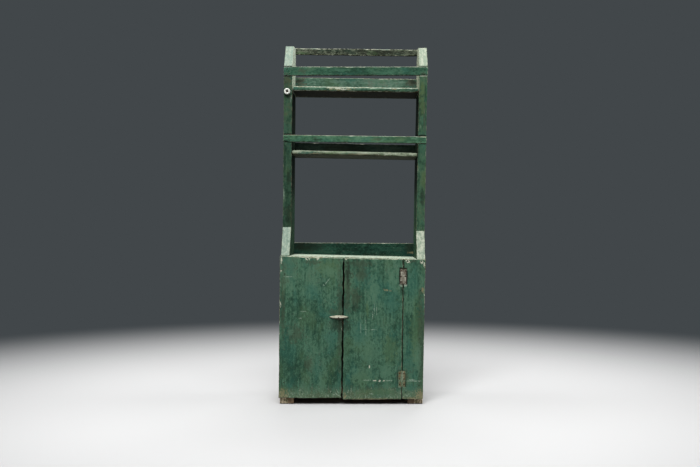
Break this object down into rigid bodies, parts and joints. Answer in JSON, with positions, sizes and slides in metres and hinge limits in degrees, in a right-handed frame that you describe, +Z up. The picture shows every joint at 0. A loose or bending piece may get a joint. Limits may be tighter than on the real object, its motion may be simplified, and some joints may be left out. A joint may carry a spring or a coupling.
{
  "type": "cupboard with an open rack",
  "caption": "Tall painted wooden cupboard: a low base with a hinged door and turn button under an open rack with shelves and rails.",
  "frame": {"origin": "middle of the bounding box on the floor, under the cupboard", "axes": "+Z up, the front with the door faces -Y, +X to the right seen from the front"},
  "size_m": [0.742, 0.3698, 1.812],
  "materials": {
    "green_paint": "old green paint worn to the wood",
    "dark_green_paint": "darker green paint in shade",
    "weathered_paint": "grey weathered paint",
    "bare_wood": "unpainted aged softwood",
    "nail_iron": "dull rusty nail iron",
    "hinge_steel": "worn bare steel",
    "hinge_rust": "rusty and half painted",
    "button_wood": "pale handled softwood",
    "porcelain": "glazed white"
  },
  "bodies": {
    "carcass": {"left_side": "green_paint", "right_side": "green_paint", "top_back_rail": "weathered_paint", "top_front_rail": "green_paint", "top_shelf": "green_paint", "top_shelf_back_rail": "green_paint", "middle_front_rail": "green_paint", "middle_shelf": "green_paint", "middle_shelf_back_rail": "dark_green_paint", "counter_top": "green_paint", "counter_back_rail": "dark_green_paint", "left_front_board": "green_paint", "right_front_stile": "green_paint", "left_front_post": "bare_wood", "right_front_post": "bare_wood", "bottom_board": "bare_wood", "inner_shelf": "bare_wood", "left_bottom_cleat": "bare_wood", "right_bottom_cleat": "bare_wood", "left_shelf_cleat": "bare_wood", "right_shelf_cleat": "bare_wood", "back_plank_1": "bare_wood", "back_plank_2": "bare_wood", "back_plank_3": "bare_wood", "back_plank_4": "bare_wood", "front_nails": "nail_iron", "rail_nails": "nail_iron", "back_rail_nails": "nail_iron", "shelf_nails": "nail_iron", "cleat_nails": "nail_iron", "plank_nails": "nail_iron", "porcelain_ring": "porcelain", "porcelain_ring_screw": "nail_iron", "upper_hinge_stile_leaf": "hinge_steel", "lower_hinge_stile_leaf": "hinge_rust", "upper_hinge_pin": "hinge_steel", "lower_hinge_pin": "hinge_rust", "stile_hinge_screws": "nail_iron", "turn_button_nail": "nail_iron"},
    "door": {"door_board": "green_paint", "upper_door_batten": "bare_wood", "lower_door_batten": "bare_wood", "door_batten_nails": "nail_iron", "upper_hinge_door_leaf": "hinge_steel", "lower_hinge_door_leaf": "hinge_rust", "door_hinge_screws": "nail_iron"},
    "turn_button": {"turn_button": "button_wood"}
  },
  "joints": [
    {"name": "door_hinge", "type": "hinge", "parent": "carcass", "child": "door", "pos_m": [0.2313, -0.17235, 0], "axis": [0.0144, 0, 0.9999], "range_deg": [0, 175]},
    {"name": "button_turn", "type": "hinge", "parent": "carcass", "child": "turn_button", "pos_m": [-0.07605, -0.17055, 0.427], "axis": [0, 1, 0], "continuous": true}
  ]
}
